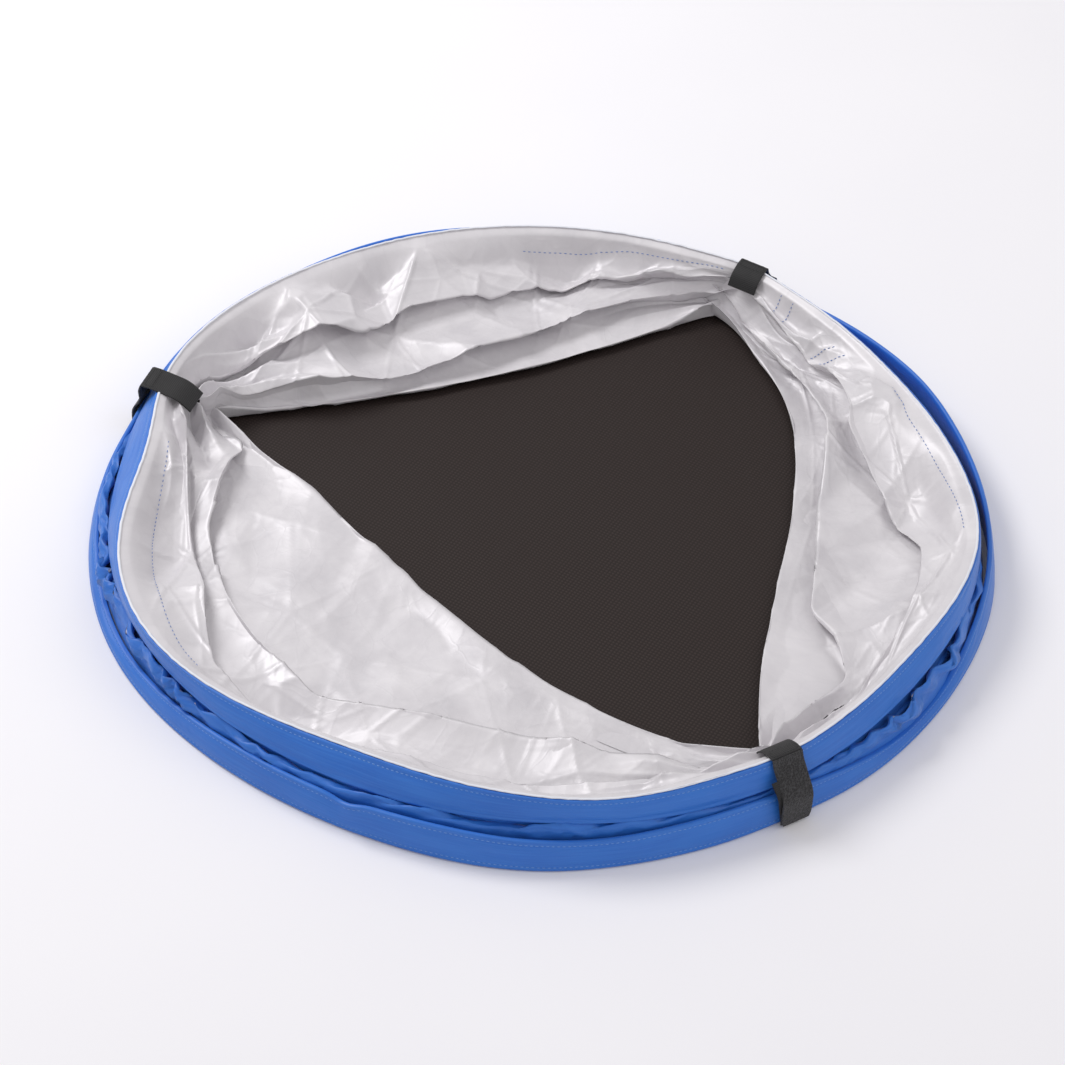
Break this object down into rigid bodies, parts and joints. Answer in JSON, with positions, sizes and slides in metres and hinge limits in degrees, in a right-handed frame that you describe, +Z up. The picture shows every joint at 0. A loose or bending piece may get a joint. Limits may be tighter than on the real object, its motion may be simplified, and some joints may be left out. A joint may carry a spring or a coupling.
{
  "type": "ice fishing shelter",
  "caption": "Pop-up hoop shelter folded flat: nested sprung hoops in blue sleeves, silver-lined wall folds, woven floor and hook-and-loop straps.",
  "frame": {"origin": "middle of the floor's underside, on the ground", "axes": "+Z up, +X to the right and +Y to the back, with the front strap at -57 degrees from +X"},
  "size_m": [0.8247, 0.8248, 0.0628],
  "materials": {
    "blue_polyester": "woven polyester with a soft satin face",
    "silver_lining": "silver-coated polyester, satin, sharply creased",
    "floor_weave": "coarse coated weave, matt",
    "black_webbing": "flat woven webbing",
    "hook_loop": "hook-and-loop tape",
    "white_piping": "folded edge tape",
    "spring_steel": "drawn spring-steel wire",
    "ferrule_steel": "crimped zinc-plated tube"
  },
  "bodies": {
    "base": {"floor_panel": "floor_weave", "floor_binding": "black_webbing", "bottom_sleeve": "blue_polyester", "bottom_hoop": "spring_steel", "bottom_ferrule": "ferrule_steel", "lower_wall": "blue_polyester", "wall_fold_back": "silver_lining", "wall_fold_left": "silver_lining", "wall_fold_right": "silver_lining", "front_tab": "black_webbing", "left_tab": "black_webbing", "back_tab": "black_webbing", "front_loop_patch": "hook_loop", "left_loop_patch": "hook_loop", "back_loop_patch": "hook_loop"},
    "middle_hoop": {"middle_sleeve": "blue_polyester", "middle_hoop": "spring_steel", "middle_ferrule": "ferrule_steel", "upper_wall": "blue_polyester"},
    "top_hoop": {"top_sleeve": "blue_polyester", "top_edge_piping": "white_piping", "top_hoop": "spring_steel", "top_ferrule": "ferrule_steel", "front_anchor": "black_webbing", "left_anchor": "black_webbing", "back_anchor": "black_webbing"},
    "front_strap": {"front_flap": "black_webbing", "front_hook_patch": "hook_loop"},
    "left_strap": {"left_flap": "black_webbing", "left_hook_patch": "hook_loop"},
    "back_strap": {"back_flap": "black_webbing", "back_hook_patch": "hook_loop"}
  },
  "joints": [
    {"name": "lower_lift", "type": "slide", "parent": "base", "child": "middle_hoop", "axis": [0, 0, 1], "range_m": [0, 0.6], "deforming": ["lower_wall"]},
    {"name": "upper_lift", "type": "slide", "parent": "middle_hoop", "child": "top_hoop", "axis": [0, 0, 1], "range_m": [0, 0.6], "deforming": ["upper_wall"]},
    {"name": "front_strap_open", "type": "hinge", "parent": "top_hoop", "child": "front_strap", "pos_m": [0.21562, -0.33203, 0.062], "axis": [-0.8387, -0.5446, 0], "range_deg": [0, 150]},
    {"name": "left_strap_open", "type": "hinge", "parent": "top_hoop", "child": "left_strap", "pos_m": [-0.3796, 0.11244, 0.062], "axis": [0.284, 0.9588, 0], "range_deg": [0, 150]},
    {"name": "back_strap_open", "type": "hinge", "parent": "top_hoop", "child": "back_strap", "pos_m": [0.19795, 0.34286, 0.062], "axis": [0.866, -0.5, 0], "range_deg": [0, 150]}
  ],
  "couplings": [
    {"joint": "upper_lift", "follows": "lower_lift", "ratio": 1}
  ]
}
